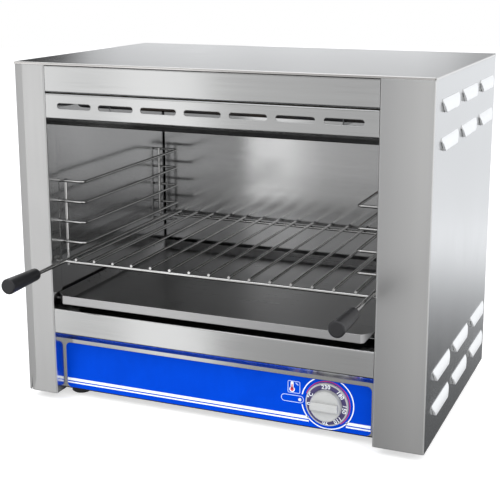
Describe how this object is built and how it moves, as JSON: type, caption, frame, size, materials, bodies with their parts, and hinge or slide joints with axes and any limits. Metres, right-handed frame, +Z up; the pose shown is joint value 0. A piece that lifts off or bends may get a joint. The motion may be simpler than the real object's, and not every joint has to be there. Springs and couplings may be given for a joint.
{
  "type": "cheese melter",
  "caption": "Electric countertop cheese melter: open steel cabinet, heaters over a cavity with wire rack guides, pull-out grate with grips, crumb tray and thermostat knob.",
  "frame": {"origin": "centre of the bounding box at the underside of the feet, on the surface the object stands on", "axes": "+X to the right as seen from the front, +Y from the front to the back, +Z up"},
  "size_m": [0.608, 0.5264, 0.498],
  "materials": {
    "cover_steel": "fine brushed stainless steel",
    "panel_steel": "satin stainless steel",
    "cavity_steel": "bright stainless steel, softly reflecting",
    "zinc_steel": "galvanised sheet",
    "wire": "bright plated wire",
    "film": "blue printed film, satin",
    "grip_black": "black phenolic, satin",
    "knob_grey": "light grey moulded plastic",
    "lamp_lens": "clear white lens",
    "foot_black": "black rubber",
    "heater_tube": "dark heat-toned steel tube",
    "ceramic": "white ceramic",
    "wool": "mineral wool",
    "thermostat": "tan phenolic housing",
    "copper": "copper",
    "screw_steel": "bright zinc",
    "gland_black": "black nylon",
    "lead": "red silicone insulation",
    "tray_steel": "brushed steel, dark inside"
  },
  "bodies": {
    "cabinet": {"top_cover": "cover_steel", "left_side_panel": "panel_steel", "right_side_panel": "panel_steel", "upper_front_strip": "panel_steel", "vent_strip": "panel_steel", "lower_front_strip": "panel_steel", "control_panel": "panel_steel", "printed_film": "film", "base_plate": "zinc_steel", "back_panel": "zinc_steel", "left_cavity_wall": "cavity_steel", "right_cavity_wall": "cavity_steel", "back_cavity_wall": "cavity_steel", "cavity_ceiling": "cavity_steel", "cavity_floor": "cavity_steel", "left_tray_runner": "cavity_steel", "right_tray_runner": "cavity_steel", "left_rack_rails": "wire", "right_rack_rails": "wire", "left_rack_uprights": "wire", "right_rack_uprights": "wire", "front_heater": "heater_tube", "middle_heater": "heater_tube", "rear_heater": "heater_tube", "heater_hangers": "cavity_steel", "heater_insulators": "ceramic", "top_wool": "wool", "left_wool": "wool", "right_wool": "wool", "back_wool": "wool", "thermostat_body": "thermostat", "sensor_bulb": "copper", "bulb_clips": "screw_steel", "indicator_lamp": "lamp_lens", "terminal_block": "ceramic", "cable_gland": "gland_black", "gland_nut": "gland_black", "wiring": "lead", "feet": "foot_black", "foot_screws": "screw_steel", "back_screws": "screw_steel", "cover_screws": "screw_steel"},
    "knob": {"knob_skirt": "knob_grey", "knob_grip": "knob_grey", "thermostat_shaft": "screw_steel"},
    "grate": {"left_side_rod": "wire", "right_side_rod": "wire", "grate_rails": "wire", "grate_wires": "wire", "left_grip": "grip_black", "right_grip": "grip_black"},
    "tray": {"crumb_tray": "tray_steel"}
  },
  "joints": [
    {"name": "knob_turn", "type": "hinge", "parent": "cabinet", "child": "knob", "pos_m": [0.1605, -0.1142, 0.0513], "axis": [0, 1, 0], "range_deg": [0, 270]},
    {"name": "grate_slide", "type": "slide", "parent": "cabinet", "child": "grate", "axis": [0, -1, 0], "range_m": [0, 0.24]},
    {"name": "tray_slide", "type": "slide", "parent": "cabinet", "child": "tray", "axis": [0, -1, 0], "range_m": [0, 0.28]}
  ]
}
